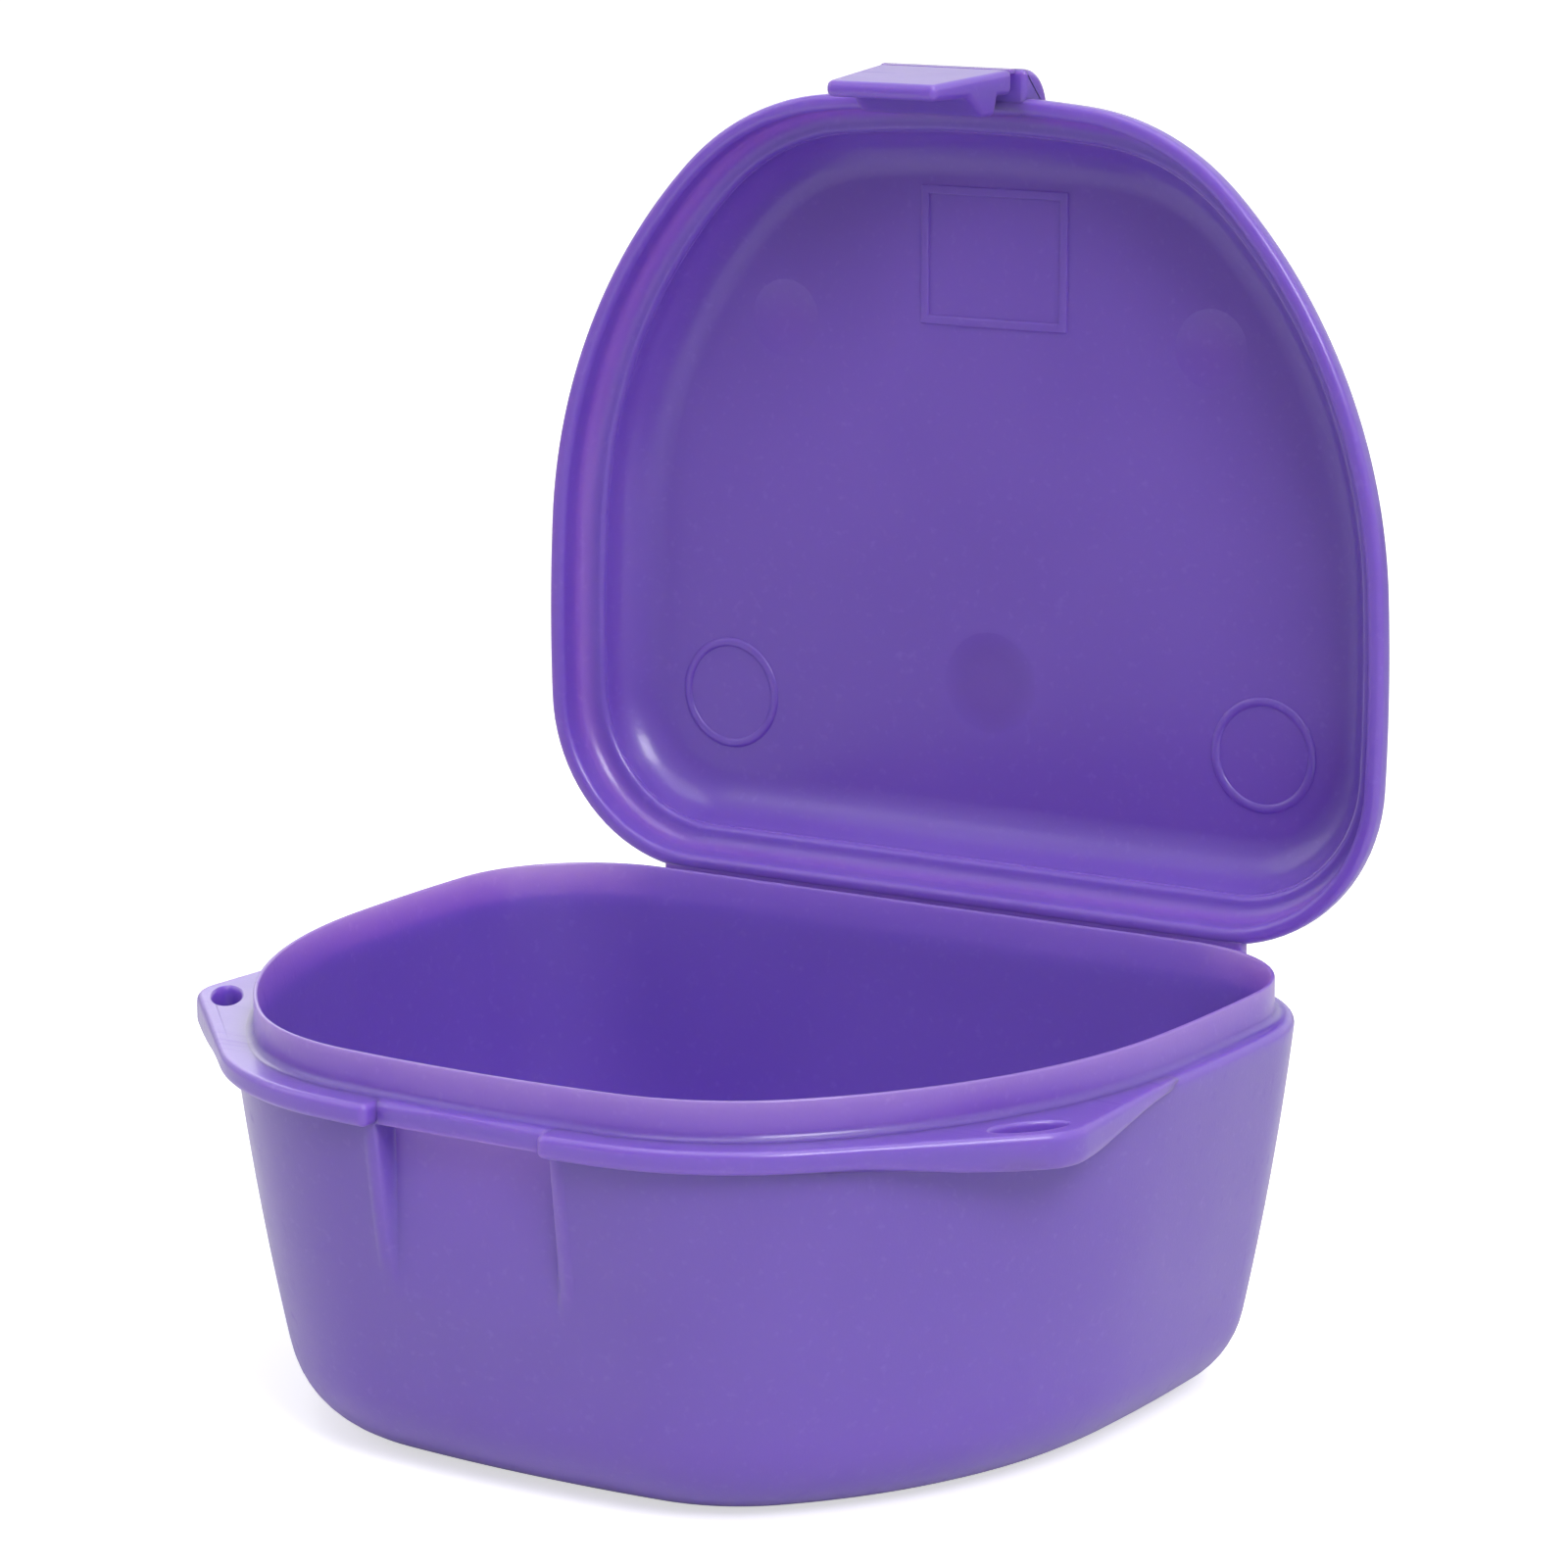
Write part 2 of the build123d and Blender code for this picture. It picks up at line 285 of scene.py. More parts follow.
def useModifier(piece, kind, **settings):
    takeUp(piece)
    modifier = piece.modifiers.new(kind.title(), kind)
    for key, value in settings.items():
        setattr(modifier, key, value)
    bpy.ops.object.modifier_apply(modifier=modifier.name)


def cutAway(piece, cutter):
    useModifier(piece, "BOOLEAN", operation="DIFFERENCE", solver="EXACT", object=cutter)
    bpy.data.objects.remove(cutter)


hinge = frame["joints"][0]
hingeY = hinge["pos_m"][1] / mm
hingeZ = hinge["pos_m"][2] / mm
openAngle = radians(-hinge["range_deg"][0])
# closed, the lid's rim lies as far above the hinge line as the flange lies below it
lidRimZ = 2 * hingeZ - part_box("eyelet_lug_left")[1].z / mm
openTurn = (
    Matrix.Translation((0, hingeY, hingeZ))
    @ Matrix.Rotation(-openAngle, 4, "X")
    @ Matrix.Translation((0, -hingeY, -hingeZ))
)


def openUp(piece):
    # from closed to standing open, about the hinge line
    takeUp(piece)
    piece.matrix_world = openTurn @ piece.matrix_world
    bpy.ops.object.transform_apply(location=True, rotation=True, scale=True)


def finishPiece(piece, material):
    # millimetres to metres, even shading and finish
    takeUp(piece)
    piece.scale = (mm, mm, mm)
    bpy.ops.object.transform_apply(location=True, rotation=True, scale=True)
    bpy.ops.object.shade_smooth_by_angle(angle=meshing["smoothAngle"])
    useModifier(piece, "WEIGHTED_NORMAL", keep_sharp=True, weight=meshing["normalWeight"])
    piece.data.materials.clear()
    piece.data.materials.append(material)
    print("made", piece.name, len(piece.data.polygons), "faces")


# Materials
plasticLook = {
    "violet": (0.192, 0.104, 0.52, 1),
    "deepViolet": (0.178, 0.093, 0.5, 1),
    "paleViolet": (0.24, 0.15, 0.57, 1),
    "blush": (0.155, 0.078, 0.45, 1),
    "cloudScale": 38.0,
    "cloudRange": (0.35, 0.65),
    "speckScale": 1400.0,
    "speckRange": (0.6, 0.85, 0.0, 0.5),
    "glossScale": 114.0,
    "glossRange": (0.3, 0.7, 0.32, 0.4),  # the roughness runs between the last two
    "scratchScale": 1100.0,
    "scratchRange": (0.6, 0.8, 0.0, 0.1),
    "scratchTurn": (0.3, 0.5, 0.9),
    "scratchStretch": (0.05, 1.0, 0.6),
    "swellScale": 70.0,
    "swellDepth": 0.00016,
    "swellStrength": 0.5,
    "grainScale": 5200.0,
    "grainDepth": 0.000012,
    "grainStrength": 0.6,
    "throughLight": 0.95,
    "throughRadius": (4.2, 3.0, 3.4),
    "throughDepth": 0.001,
    "ior": 1.49,
    "skinWeight": 0.38,
    "skinRoughness": 0.16,
}


def addNode(tree, kind, inputs=None, **settings):
    node = tree.nodes.new(kind)
    for key, value in settings.items():
        setattr(node, key, value)
    for key, value in (inputs or {}).items():
        node.inputs[key].default_value = value
    return node


def mixColours(tree, factor, first, second):
    node = addNode(tree, "ShaderNodeMix", data_type="RGBA")
    tree.links.new(factor, node.inputs[0])
    for socket, colour in ((node.inputs[6], first), (node.inputs[7], second)):
        if isinstance(colour, tuple):
            socket.default_value = colour
        else:
            tree.links.new(colour, socket)
    return node.outputs[2]


def rangeOf(tree, value, low, high, toLow=0.0, toHigh=1.0):
    node = addNode(tree, "ShaderNodeMapRange", {1: low, 2: high, 3: toLow, 4: toHigh})
    tree.links.new(value, node.inputs[0])
    return node.outputs[0]


def noiseOf(tree, vector, scale, detail=2.0):
    node = addNode(tree, "ShaderNodeTexNoise", {"Scale": scale, "Detail": detail})
    tree.links.new(vector, node.inputs["Vector"])
    return node.outputs[0]


def violetPlastic(name, look, gate=None):
    material = bpy.data.materials.new(name)
    material.use_nodes = True
    tree = material.node_tree
    links = tree.links
    shader = tree.nodes["Principled BSDF"]
    place = addNode(tree, "ShaderNodeTexCoord").outputs["Object"]

    # pigment: a slow cloud of deeper and paler violet, with fine specks
    cloud = rangeOf(tree, noiseOf(tree, place, look["cloudScale"]), *look["cloudRange"])
    speck = rangeOf(tree, noiseOf(tree, place, look["speckScale"]), *look["speckRange"])
    colour = mixColours(tree, cloud, look["deepViolet"], look["violet"])
    colour = mixColours(tree, speck, colour, look["paleViolet"])

    # the plastic is a shade deeper where it flowed in, within a ball about a point off the surface
    if gate:
        away = addNode(tree, "ShaderNodeVectorMath", {1: gate["centre"]}, operation="DISTANCE")
        links.new(place, away.inputs[0])
        nearGate = rangeOf(tree, away.outputs["Value"], gate["full"], gate["none"], 1.0, 0.0)
        colour = mixColours(tree, nearGate, colour, look["blush"])

    links.new(colour, shader.inputs["Base Color"])

    # the gloss wanders, and handling has dulled it along fine scratches: a noise drawn out long
    gloss = rangeOf(tree, noiseOf(tree, place, look["glossScale"], detail=4.0), *look["glossRange"])
    stretch = {"Rotation": look["scratchTurn"], "Scale": look["scratchStretch"]}
    drawnOut = addNode(tree, "ShaderNodeMapping", stretch)
    links.new(place, drawnOut.inputs[0])
    crest = noiseOf(tree, drawnOut.outputs[0], look["scratchScale"])
    scratch = rangeOf(tree, crest, *look["scratchRange"])
    dulled = addNode(tree, "ShaderNodeMath", operation="ADD")
    links.new(gloss, dulled.inputs[0])
    links.new(scratch, dulled.inputs[1])
    links.new(dulled.outputs[0], shader.inputs["Roughness"])

    # slow swell of the moulding, and the fine grain of its mould
    swellForm = {"Strength": look["swellStrength"], "Distance": look["swellDepth"]}
    swell = addNode(tree, "ShaderNodeBump", swellForm)
    links.new(noiseOf(tree, place, look["swellScale"], detail=1.0), swell.inputs["Height"])
    grainForm = {"Strength": look["grainStrength"], "Distance": look["grainDepth"]}
    grain = addNode(tree, "ShaderNodeBump", grainForm)
    links.new(noiseOf(tree, place, look["grainScale"]), grain.inputs["Height"])
    links.new(swell.outputs[0], grain.inputs["Normal"])
    links.new(grain.outputs[0], shader.inputs["Normal"])

    shader.inputs["IOR"].default_value = look["ior"]
    shader.inputs["Coat Weight"].default_value = look["skinWeight"]
    shader.inputs["Coat Roughness"].default_value = look["skinRoughness"]
    shader.inputs["Subsurface Weight"].default_value = look["throughLight"]
    shader.inputs["Subsurface Radius"].default_value = look["throughRadius"]
    shader.inputs["Subsurface Scale"].default_value = look["throughDepth"]
    return material


filmLook = {**plasticLook, "violet": (0.25, 0.15, 0.53, 1), "throughLight": 0.6}
plastic = violetPlastic("violetPlastic", plasticLook)
film = violetPlastic("violetFilm", filmLook)
print("materials ready")

# Tub
tub = {
    "height": 30.6,
    "wallInset": 0.25,
    "draft": 6.2,  # degrees
    "bulge": 0.002,
    "bottomRadius": 8.0,
    "floor": 1.6,
    "rimRounding": 0.75,
    "coamingInset": 1.9,
    "coamingHeight": 3.0,
    "coamingThickness": 0.34,  # at its top; it thickens to its root
    "coamingRootThickness": 0.85,
    "coamingRounding": 0.16,
    "coamingFillet": 0.7,
    "cavityDraft": 5.7,  # degrees
    "cavityRadius": 6.5,
    "rowHeight": 1.2,
    "cavityRows": 18,
    "rootRows": 4,
    "bendSteps": 12,
}
recess = {
    "halfWidth": 7.6,
    "sideRun": 0.75,
    "sideColumns": 10,
    "ridgeOut": 0.6,  # from the side's outer edge to the ridge's crest
    "ridgeHeight": 0.16,
    "ridgeReach": 0.75,
    "ridgeLow": 17.0,
    "ridgeBehind": 4.0,  # the wall's inner face moves with it, as far back as this
    "ridgeColumns": 6,
    "bandY": frontY + 0.6,
    "panelY": frontY + 2.5,
    "bandHeight": 2.0,
    "roofRun": 0.3,
    "roofRows": 6,
    "bandRows": 2,
    "near": 0.015,  # less than half the spacing of its rows and columns
}


def wallInset(depth):
    return tub["wallInset"] + depth * tan(radians(tub["draft"])) + tub["bulge"] * depth**2


def evenly(first, last, count):
    return [first + (last - first) * i / count for i in range(count + 1)]


def smoothStep(share):
    share = min(1.0, max(0.0, share))
    return share * share * (3 - 2 * share)


def tubWallProfile():
    # down the outside, through the rows that the recess needs, and round to the bottom
    height = tub["height"]
    radius = tub["bottomRadius"]
    roof = height - recess["bandHeight"]
    slope = tan(radians(tub["draft"])) + 2 * tub["bulge"] * (height - radius)
    lean = atan(slope)
    lowest = radius - radius * sin(lean)
    rows = evenly(height - tub["rimRounding"], roof + recess["roofRun"], recess["bandRows"])
    rows += evenly(roof + recess["roofRun"], roof, recess["roofRows"])[1:]
    rows += evenly(roof, lowest, ceil((roof - lowest) / tub["rowHeight"]))[1:]
    profile = [(wallInset(height - z), z) for z in rows]
    centre = wallInset(height - lowest) + radius * cos(lean)
    profile += rounded(centre, radius, radius, -degrees(lean), -90, tub["bendSteps"])[1:]
    return profile


def tubInnerProfile():
    height = tub["height"]
    start = wallInset(tub["rimRounding"])
    r = tub["rimRounding"]
    fillet = tub["coamingFillet"]
    edge = tub["coamingRounding"]
    outer = tub["coamingInset"]
    inner = outer + tub["coamingThickness"]
    top = height + tub["coamingHeight"]
    profile = rounded(start + r, height - r, r, 0, 90)
    profile += rounded(outer - fillet, height + fillet, fillet, -90, -180)
    profile += rounded(outer + edge, top - edge, edge, 0, 90)
    profile += rounded(inner - edge, top - edge, edge, 90, 180)
    root = outer + tub["coamingRootThickness"]
    for share in evenly(0, 1, tub["rootRows"])[1:]:
        profile.append((inner + (root - inner) * share, top - edge + (height - top + edge) * share))
    lean = radians(tub["cavityDraft"])
    radius = tub["cavityRadius"]
    lowest = tub["floor"] + radius - radius * sin(lean)
    for z in evenly(height, lowest, tub["cavityRows"])[1:]:
        profile.append((root + (height - z) * tan(lean), z))
    centre = profile[-1][0] + radius * cos(lean)
    floorBend = tub["floor"] + radius
    profile += rounded(centre, floorBend, radius, -tub["cavityDraft"], -90, tub["bendSteps"])[1:]
    return profile


def acrossFront(spot):
    # how far round the front a point is, as an arc length on the outline
    return abs(atan2(spot.x, frontArc["y"] - spot.y)) * frontArc["radius"]


def recessSides():
    half = recess["halfWidth"]
    run = recess["sideRun"]
    return evenly(half + run / 2, half - run / 2, recess["sideColumns"])


def ridgeColumns():
    outer = recessSides()[0]
    return evenly(outer + 2 * recess["ridgeOut"], outer, recess["ridgeColumns"])[:-1]


def pressRecess(piece):
    # the front wall is pushed back, less at the recess's sides and at its roof
    roof = tub["height"] - recess["bandHeight"]
    rows = evenly(roof + recess["roofRun"], roof, recess["roofRows"])
    sides = recessSides()
    near = recess["near"]
    zones = [(rows[0] + near, tub["height"] - near, 0.0), (0.0, rows[-1] - near, 1.0)]
    for i, z in enumerate(rows):
        zones.append((z - near, z + near, smoothStep(i / recess["roofRows"])))
    for low, high, depth in zones:
        wallY = recess["bandY"] + (recess["panelY"] - recess["bandY"]) * depth
        for column in sides[1:]:
            share = smoothStep((sides[0] - column) / recess["sideRun"])
            inner = 0 if column == sides[-1] else column - near
            found = pick(
                piece,
                "VERT",
                lambda v: low < v.z < high and v.y < wallY and inner <= acrossFront(v) < column + near,
            )
            if found:
                bpy.ops.transform.resize(value=(1, 1 - share, 1), center_override=(0, wallY, 0))
    objectMode()


def raiseRidges(piece):
    # a low, soft ridge stands up along each side of the recess
    crest = recessSides()[0] + recess["ridgeOut"]
    highest = tub["height"] - recess["bandHeight"]
    behind = frontY + recess["ridgeBehind"]
    near = recess["near"]
    pick(
        piece,
        "VERT",
        lambda v: recess["ridgeLow"] < v.z < highest and v.y < behind
        and crest - near < acrossFront(v) < crest + near,
    )
    bpy.ops.transform.translate(
        value=(0, -recess["ridgeHeight"], 0), use_proportional_edit=True,
        proportional_edit_falloff="SMOOTH", proportional_size=recess["ridgeReach"],
    )
    objectMode()


frontColumns = ridgeColumns() + recessSides()
tubShell = turnedShell("tubShell", tubInnerProfile(), tubWallProfile(), frontColumns)
pressRecess(tubShell)
raiseRidges(tubShell)
finishPiece(tubShell, plastic)
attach(tubShell, "base")
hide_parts("tub")

# Carrying edge and its ears
ear = {
    "thickness": 1.8,
    "overhang": 1.1,
    "embedded": 2.35,
    "lift": 0.01,  # hides the tub's own rim under the edge
    "topRounding": 0.5,
    "bottomRounding": 0.6,
    "endRounding": 0.65,
    "endSteps": 5,
    "x": caseOutline["width"] / 2 - 4.1,
    "run": 15.9,
    "radius": 4.5,
    "frontRunSteps": 8,
    "backRunSteps": 12,
    "eyeletShift": (0.9, -2.2),
    "eyeletLength": 6.2,
    "eyeletWidth": 2.3,
    "eyeletAngle": 54.0,  # degrees
    "eyeletFlare": ((0.13, 0.012), (0.08, 0.025), (0.04, 0.042), (0.3, 0.1)),  # depth, widening
    "eyeletVertices": 72,
    "tipSwell": 1.55,
    "tipRadius": 4.0,
    "tipReach": 12.0,
    "runOutThinning": 0.6,
    "runOutLength": 0.5,
    "runOutReach": 15.0,
    "runOutSunk": 0.2,
}


def pointOn(arc, heading, inset):
    reach = arc["radius"] - inset
    return arc["x"] + reach * sin(heading), arc["y"] + reach * cos(heading)


def drawEar(name, z):
    flank, nose = outlineArcs[2], outlineArcs[3]
    runOut = pointOn(flank, flank["first"], tub["wallInset"] + ear["runOutSunk"])
    earX = ear["x"]
    earY = runOut[1] - ear["run"]
    r = ear["radius"]
    # angles at which the straight runs touch the nose and the ear
    noseReach = nose["radius"] + ear["overhang"]
    gap = hypot(earX - nose["x"], earY - nose["y"])
    leave = atan2(earY - nose["y"], earX - nose["x"]) - acos((noseReach - r) / gap)
    away = hypot(runOut[0] - earX, runOut[1] - earY)
    touch = atan2(runOut[1] - earY, runOut[0] - earX) - acos(r / away)
    recessHeading = pi - recess["halfWidth"] / frontArc["radius"]

    inner = pointOn(frontArc, recessHeading, ear["embedded"])
    bend = ear["endRounding"]
    bendInset = bend - ear["overhang"]
    bendHeading = recessHeading - bend / (frontArc["radius"] - bendInset)
    start = pointOn(frontArc, recessHeading, bendInset)
    bendAt = pointOn(frontArc, bendHeading, bendInset)
    piece = startPoint(name, inner[0], inner[1], z)
    lineTo(start[0] - inner[0], start[1] - inner[1])
    bpy.ops.mesh.spin(
        steps=ear["endSteps"], angle=-pi / 2, center=(bendAt[0], bendAt[1], z), axis=(0, 0, 1),
    )
    arcTo(frontArc["x"], frontArc["y"], z, frontArc["first"] - bendHeading, frontArc["radius"])
    arcTo(nose["x"], nose["y"], z, (pi / 2 - leave) - nose["last"], noseReach)
    spot = (nose["x"] + noseReach * cos(leave), nose["y"] + noseReach * sin(leave))
    onEar = (earX + r * cos(leave), earY + r * sin(leave))
    lineTo(onEar[0] - spot[0], onEar[1] - spot[1], steps=ear["frontRunSteps"])
    arcTo(earX, earY, z, leave - touch, r)
    lastOnEar = (earX + r * cos(touch), earY + r * sin(touch))
    lineTo(runOut[0] - lastOnEar[0], runOut[1] - lastOnEar[1], steps=ear["backRunSteps"])
    hidden = pointOn(flank, flank["first"], ear["embedded"])
    lineTo(hidden[0] - runOut[0], hidden[1] - runOut[1])
    arcTo(flank["x"], flank["y"], z, flank["last"] - flank["first"], flank["radius"])
    arcTo(nose["x"], nose["y"], z, nose["last"] - nose["first"], nose["radius"])
    arcTo(frontArc["x"], frontArc["y"], z, recessHeading - frontArc["first"], frontArc["radius"])
    return piece, (earX, earY), runOut


def makeEar(name):
    top = tub["height"] + ear["lift"]
    low = tub["height"] - ear["thickness"]
    r = ear["topRounding"]
    s = ear["bottomRounding"]
    halves = []
    for suffix, facing, profile in (
        ("", 1, rounded(r, top - r, r, 0, 90)),
        ("Under", -1, [(0, top - r)] + rounded(s, low + s, s, 0, -90)),
    ):
        half, earAt, runOut = drawEar(name + suffix, top - r)
        closeFace(upwards=facing > 0)
        growRings(profile, facing)
        halves.append(half)
    piece = joinHalves(*halves)

    # the eyelet, cut by an oval waisted cutter that leaves its two rims flared
    bpy.ops.object.select_all(action="DESELECT")
    flared = sum(depth for depth, widening in ear["eyeletFlare"][:-1])
    bpy.ops.mesh.primitive_cylinder_add(
        vertices=ear["eyeletVertices"], radius=0.5, depth=ear["thickness"] - 2 * flared,
    )
    cutter = bpy.context.object
    for side in (-1, 1):
        pick(cutter, "FACE", lambda f: f.normal.z * side > meshing["facing"])
        for depth, widening in ear["eyeletFlare"]:
            bpy.ops.mesh.extrude_region_move(TRANSFORM_OT_translate={"value": (0, 0, side * depth)})
            # the oval is narrow across, so it widens more there
            wider = (1 + widening, 1 + 2 * widening, 1)
            bpy.ops.transform.resize(value=wider, center_override=(0, 0, 0))
    takeUp(cutter)
    cutter.scale = (ear["eyeletLength"], ear["eyeletWidth"], 1)
    cutter.rotation_euler.z = radians(ear["eyeletAngle"])
    cutter.location = (
        earAt[0] + ear["eyeletShift"][0],
        earAt[1] + ear["eyeletShift"][1],
        top - ear["thickness"] / 2,
    )
    bpy.ops.object.transform_apply(location=True, rotation=True, scale=True)
    cutAway(piece, cutter)
    return piece, earAt, runOut


def shapeEar(piece, earAt, runOut):
    # thicker below the ear's tip, and thinning out towards the back
    top = tub["height"]
    takeUp(piece)
    pick(piece, "VERT", lambda v: hypot(v.x - earAt[0], v.y - earAt[1]) < ear["tipRadius"])
    bpy.ops.transform.resize(
        value=(1, 1, ear["tipSwell"]), center_override=(earAt[0], earAt[1], top),
        use_proportional_edit=True, proportional_edit_falloff="SMOOTH",
        proportional_size=ear["tipReach"],
    )
    pick(piece, "VERT", lambda v: v.y > runOut[1] - ear["runOutLength"])
    bpy.ops.transform.resize(
        value=(1, 1, ear["runOutThinning"]), center_override=(runOut[0], runOut[1], top),
        use_proportional_edit=True, proportional_edit_falloff="SMOOTH",
        proportional_size=ear["runOutReach"],
    )
    objectMode()


rightEar, earAt, runOut = makeEar("rightEar")
shapeEar(rightEar, earAt, runOut)
leftEar = rightEar.copy()
leftEar.data = rightEar.data.copy()
leftEar.name = "leftEar"
leftEar.data.name = "leftEar"
bpy.context.collection.objects.link(leftEar)
takeUp(leftEar)
editMode()
bpy.ops.mesh.select_all(action="SELECT")
bpy.ops.transform.resize(value=(-1, 1, 1), center_override=(0, 0, 0))
bpy.ops.mesh.flip_normals()
objectMode()
for piece, node in ((rightEar, "eyelet_lug_right"), (leftEar, "eyelet_lug_left")):
    finishPiece(piece, plastic)
    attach(piece, "base")
    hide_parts(node)

# Lid
lid = {
    "height": 8.79,
    "band": 1.5,
    "shoulder": 2.0,
    "slope": 32.5,  # degrees
    "topRadius": 4.2,
    "rimRounding": 0.5,
    "innerDepth": 7.35,
    "rabbetInset": 1.4,
    "rabbetDepth": 3.35,
    "landRounding": 0.55,
    "rabbetCove": 1.5,
    "ledgeRounding": 0.5,
    "wallInset": 3.4,
    "draft": 8.0,  # degrees
    "cavityRadius": 4.1,
    "slopeRows": 5,
    "topSteps": 10,
    "bendSteps": 12,
}


def lidOuterProfile():
    r = lid["rimRounding"]
    shoulder = lid["shoulder"]
    lean = radians(lid["slope"])
    bend = lid["band"] - shoulder * tan(lean / 2)
    profile = [(0.0, r)] + rounded(shoulder, bend, shoulder, 0, lid["slope"])
    radius = lid["topRadius"]
    highest = lid["height"] - radius + radius * sin(lean)
    for z in evenly(profile[-1][1], highest, lid["slopeRows"])[1:]:
        profile.append(((z - lid["band"]) * tan(lean), z))
    centre = profile[-1][0] + radius * cos(lean)
    profile += rounded(centre, lid["height"] - radius, radius, lid["slope"], 90, lid["topSteps"])[1:]
    return [(inset, lidRimZ + z) for inset, z in profile]


def lidInnerProfile():
    r = lid["rimRounding"]
    land = lid["landRounding"]
    cove = lid["rabbetCove"]
    steps = lid["bendSteps"]
    ledge = lid["ledgeRounding"]
    lean = radians(lid["draft"])
    radius = lid["cavityRadius"]
    profile = rounded(r, r, r, 0, -90)
    profile += rounded(lid["rabbetInset"] - land, land, land, -90, -180)
    profile += rounded(lid["rabbetInset"] + cove, lid["rabbetDepth"] - cove, cove, 0, 90, steps)
    profile += rounded(lid["wallInset"] - ledge, lid["rabbetDepth"] + ledge, ledge, -90, -180)
    highest = lid["innerDepth"] - radius + radius * sin(lean)
    profile.append((lid["wallInset"] + (highest - lid["rabbetDepth"]) * tan(lean), highest))
    centre = profile[-1][0] + radius * cos(lean)
    profile += rounded(centre, lid["innerDepth"] - radius, radius, lid["draft"], 90, steps)[1:]
    return [(inset, lidRimZ + z) for inset, z in profile]


marks = {
    "height": 0.17,
    "line": 0.75,
    "lineRounding": 0.12,
    "frameWidth": 14.0,
    "frameLength": 11.6,
    "frameY": frontY + 14.0,
    "seat": 0.1,
    "ringRadius": 4.8,
    "ringAt": (caseOutline["width"] / 2 - 14.1, backY - 14.4),
    "ringSegments": 96,
    "ringSides": 16,
    "discRadius": 3.3,
    "discDepth": 0.24,
    "discAt": (caseOutline["width"] / 2 - 19.6, frontY + 20.2),
    "gateRadius": 4.2,
    "gateDepth": 0.2,
    "gateY": backY - 17.9,
    "lensCrown": 5.0,  # how tall a dimple's cutter is above its widest, in dimple depths
    "lensSegments": 96,
    "lensRings": 64,
    "blushInner": 3.1,
    "blushOuter": 4.6,
    "blushStandOff": 12.0,  # far enough to keep the blush off the lid's outside
}
panelZ = lidRimZ + lid["innerDepth"]


def makeFrameMark():
    # a raised line round a bare field
    halfWidth = marks["frameWidth"] / 2
    halfLength = marks["frameLength"] / 2
    piece = startBlock(
        "frameMark",
        (-halfWidth, marks["frameY"] - halfLength, panelZ - marks["height"]),
        (halfWidth, marks["frameY"] + halfLength, panelZ + marks["seat"]),
    )
    pick(piece, "FACE", lambda f: abs(f.normal.z) > meshing["facing"])
    bpy.ops.mesh.inset(thickness=marks["line"], depth=0)
    bpy.ops.mesh.bridge_edge_loops()
    sharpEdges(piece, marks["lineRounding"])
    objectMode()
    return piece


def makeRingMark(side):
    bpy.ops.object.select_all(action="DESELECT")
    bpy.ops.mesh.primitive_torus_add(
        major_radius=marks["ringRadius"] - marks["line"] / 2, minor_radius=marks["line"] / 2,
        major_segments=marks["ringSegments"], minor_segments=marks["ringSides"],
        location=(side * marks["ringAt"][0], marks["ringAt"][1], panelZ),
    )
    piece = bpy.context.object
    piece.scale.z = 2 * marks["height"] / marks["line"]
    bpy.ops.object.transform_apply(location=True, rotation=True, scale=True)
    return piece


def makeLens(x, y, radius, depth):
    # a flattened ball: its crown dips into the panel by depth and is radius wide at the panel's face
    crown = marks["lensCrown"] * depth
    spread = radius / sqrt(1 - ((crown - depth) / crown) ** 2)
    bpy.ops.object.select_all(action="DESELECT")
    bpy.ops.mesh.primitive_uv_sphere_add(
        segments=marks["lensSegments"], ring_count=marks["lensRings"], radius=spread,
    )
    piece = bpy.context.object
    piece.scale.z = crown / spread
    piece.location = (x, y, panelZ - crown + depth)
    bpy.ops.object.transform_apply(location=True, rotation=True, scale=True)
    return piece


def makeLid():
    piece = turnedShell("lidShell", lidOuterProfile(), lidInnerProfile())
    raised = [makeFrameMark(), makeRingMark(-1), makeRingMark(1)]
    for mark in raised:
        useModifier(piece, "BOOLEAN", operation="UNION", solver="EXACT", object=mark)
        bpy.data.objects.remove(mark)
    # the pin marks and the gate's mark are shallow dimples
    x, y = marks["discAt"]
    cutAway(piece, makeLens(-x, y, marks["discRadius"], marks["discDepth"]))
    cutAway(piece, makeLens(x, y, marks["discRadius"], marks["discDepth"]))
    cutAway(piece, makeLens(0, marks["gateY"], marks["gateRadius"], marks["gateDepth"]))
    return piece


lidShell = makeLid()
openUp(lidShell)
standOff = marks["blushStandOff"]
gate = {
    "centre": tuple(openTurn @ Vector((0, marks["gateY"], panelZ - standOff)) * mm),
    "full": hypot(marks["blushInner"], standOff) * mm,
    "none": hypot(marks["blushOuter"], standOff) * mm,
}
lidPlastic = violetPlastic("violetLidPlastic", plasticLook, gate=gate)
finishPiece(lidShell, lidPlastic)
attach(lidShell, "lid")
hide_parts("lid_shell")

# Lid hinge
hingeForm = {
    "halfWidth": 28.0,
    "leafDepth": 0.95,
    "leafHeight": 1.2,
    "leafRounding": 0.25,
    "embedded": 0.5,
    "sunk": 0.02,
    "filmThickness": 0.3,
    "filmInset": 0.25,
    "filmOverlap": 0.15,
    "filmSteps": 10,
}
leafEnd = backY + hingeForm["leafDepth"]


def makeLeaf(name, low, high):
    half = hingeForm["halfWidth"]
    piece = startBlock(name, (-half, backY - hingeForm["embedded"], low), (half, leafEnd, high))
    sharpEdges(piece, hingeForm["leafRounding"])
    objectMode()
    return piece


